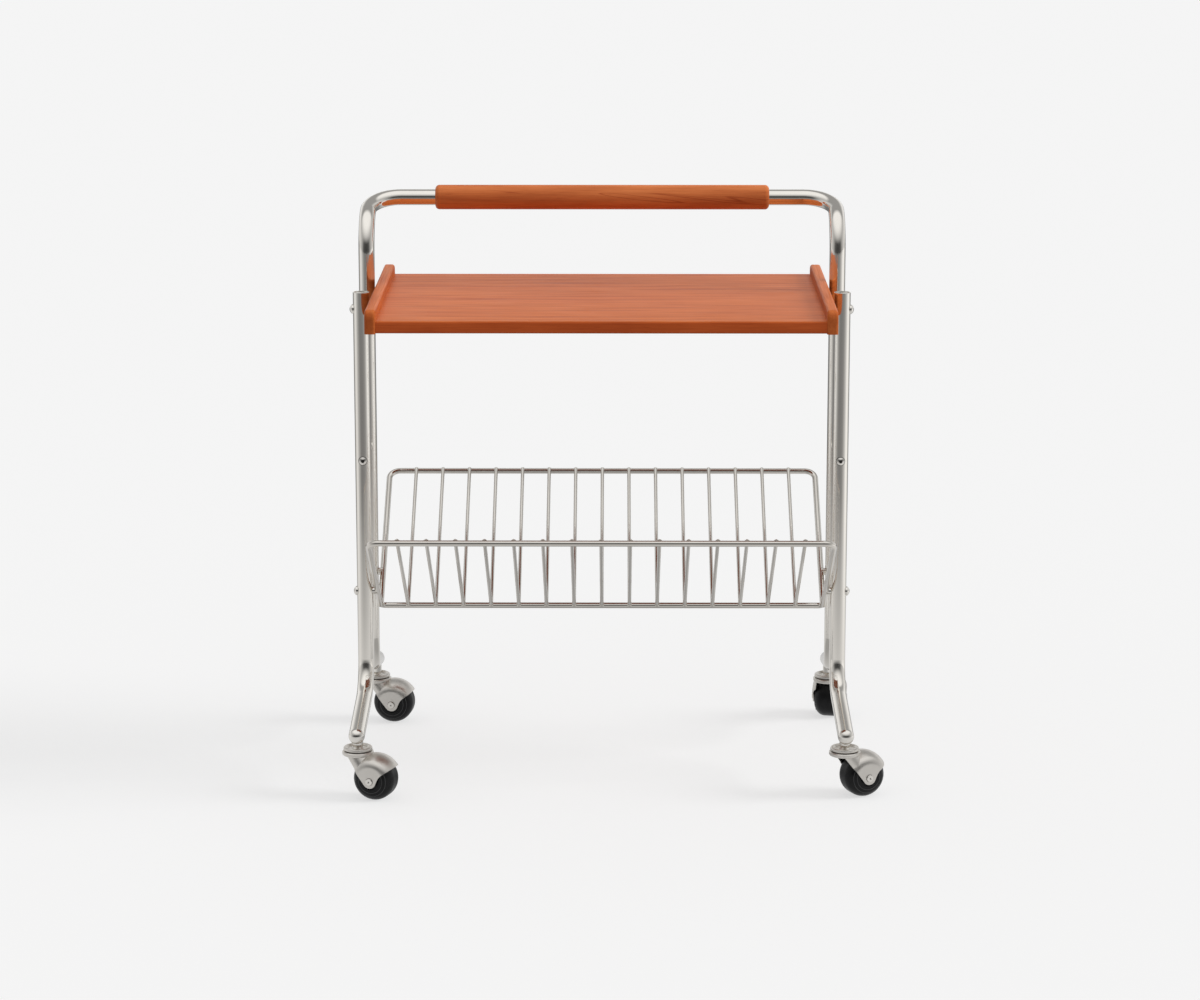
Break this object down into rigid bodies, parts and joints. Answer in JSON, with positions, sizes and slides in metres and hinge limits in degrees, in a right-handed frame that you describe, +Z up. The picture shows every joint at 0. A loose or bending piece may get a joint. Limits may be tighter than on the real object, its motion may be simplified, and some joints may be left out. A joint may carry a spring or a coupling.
{
  "type": "bar cart",
  "caption": "Bent-tube bar cart with a wooden tray, a push handle with a wooden grip, a V-shaped wire rack low down and hooded swivel casters.",
  "frame": {"origin": "on the floor under the middle of the rectangle of leg axes, where the wheels stand", "axes": "+X to the right seen from the front, +Y from the front towards the handle, +Z up"},
  "size_m": [0.6303, 0.4194, 0.6795],
  "materials": {
    "tube": "polished nickel plate",
    "rack_wire": "polished nickel plate",
    "hardware": "polished",
    "hood": "satin nickel",
    "wood": "satin lacquer",
    "dowel": "raw",
    "insert": "plain",
    "spacer": "matt",
    "ball": "polished",
    "wheel": "semi-gloss",
    "bush": "matt"
  },
  "bodies": {
    "frame": {"front_leg_left": "tube", "front_leg_right": "tube", "rear_leg_left": "tube", "rear_leg_right": "tube", "front_leg_plugs": "hardware", "foot_dome_front_left": "hardware", "foot_dome_front_right": "hardware", "foot_dome_rear_left": "hardware", "foot_dome_rear_right": "hardware", "stem_sockets": "hardware", "handle_grip": "wood", "handle_joiner": "hardware", "leg_tie_left": "hardware", "leg_tie_right": "hardware", "tie_screws": "hardware", "tray_board": "wood", "tray_side_left": "wood", "tray_side_right": "wood", "tray_dowels": "dowel", "tray_inserts": "insert", "tray_spacers": "spacer", "tray_bolts": "hardware", "rack_front_loop": "rack_wire", "rack_back_hoop": "rack_wire", "rack_front_wires": "rack_wire", "rack_rear_wires": "rack_wire", "rack_studs": "hardware", "rack_collars": "hardware", "rack_nuts": "hardware", "caster_front_left_stem": "hardware", "caster_front_left_race": "hood", "caster_front_right_stem": "hardware", "caster_front_right_race": "hood", "caster_rear_left_stem": "hardware", "caster_rear_left_race": "hood", "caster_rear_right_stem": "hardware", "caster_rear_right_race": "hood"},
    "front_left_swivel": {"caster_front_left_hood": "hood", "caster_front_left_axle": "hardware", "caster_front_left_balls": "ball"},
    "front_left_wheel": {"caster_front_left_wheel": "wheel", "caster_front_left_bush": "bush"},
    "front_right_swivel": {"caster_front_right_hood": "hood", "caster_front_right_axle": "hardware", "caster_front_right_balls": "ball"},
    "front_right_wheel": {"caster_front_right_wheel": "wheel", "caster_front_right_bush": "bush"},
    "rear_left_swivel": {"caster_rear_left_hood": "hood", "caster_rear_left_axle": "hardware", "caster_rear_left_balls": "ball"},
    "rear_left_wheel": {"caster_rear_left_wheel": "wheel", "caster_rear_left_bush": "bush"},
    "rear_right_swivel": {"caster_rear_right_hood": "hood", "caster_rear_right_axle": "hardware", "caster_rear_right_balls": "ball"},
    "rear_right_wheel": {"caster_rear_right_wheel": "wheel", "caster_rear_right_bush": "bush"}
  },
  "joints": [
    {"name": "front_left_turn", "type": "hinge", "parent": "frame", "child": "front_left_swivel", "pos_m": [-0.2828, -0.1645, 0.054], "axis": [0, 0, 1], "continuous": true},
    {"name": "front_left_roll", "type": "hinge", "parent": "front_left_swivel", "child": "front_left_wheel", "pos_m": [-0.26156, -0.17223, 0.025], "axis": [0.342, 0.9397, 0], "continuous": true},
    {"name": "front_right_turn", "type": "hinge", "parent": "frame", "child": "front_right_swivel", "pos_m": [0.2828, -0.1645, 0.054], "axis": [0, 0, 1], "continuous": true},
    {"name": "front_right_roll", "type": "hinge", "parent": "front_right_swivel", "child": "front_right_wheel", "pos_m": [0.30344, -0.15531, 0.025], "axis": [-0.4067, 0.9135, 0], "continuous": true},
    {"name": "rear_left_turn", "type": "hinge", "parent": "frame", "child": "rear_left_swivel", "pos_m": [-0.2828, 0.1645, 0.054], "axis": [0, 0, 1], "continuous": true},
    {"name": "rear_left_roll", "type": "hinge", "parent": "rear_left_swivel", "child": "rear_left_wheel", "pos_m": [-0.26048, 0.16096, 0.025], "axis": [0.1564, 0.9877, 0], "continuous": true},
    {"name": "rear_right_turn", "type": "hinge", "parent": "frame", "child": "rear_right_swivel", "pos_m": [0.2828, 0.1645, 0.054], "axis": [0, 0, 1], "continuous": true},
    {"name": "rear_right_roll", "type": "hinge", "parent": "rear_right_swivel", "child": "rear_right_wheel", "pos_m": [0.28672, 0.18676, 0.025], "axis": [-0.9848, 0.1736, 0], "continuous": true}
  ]
}
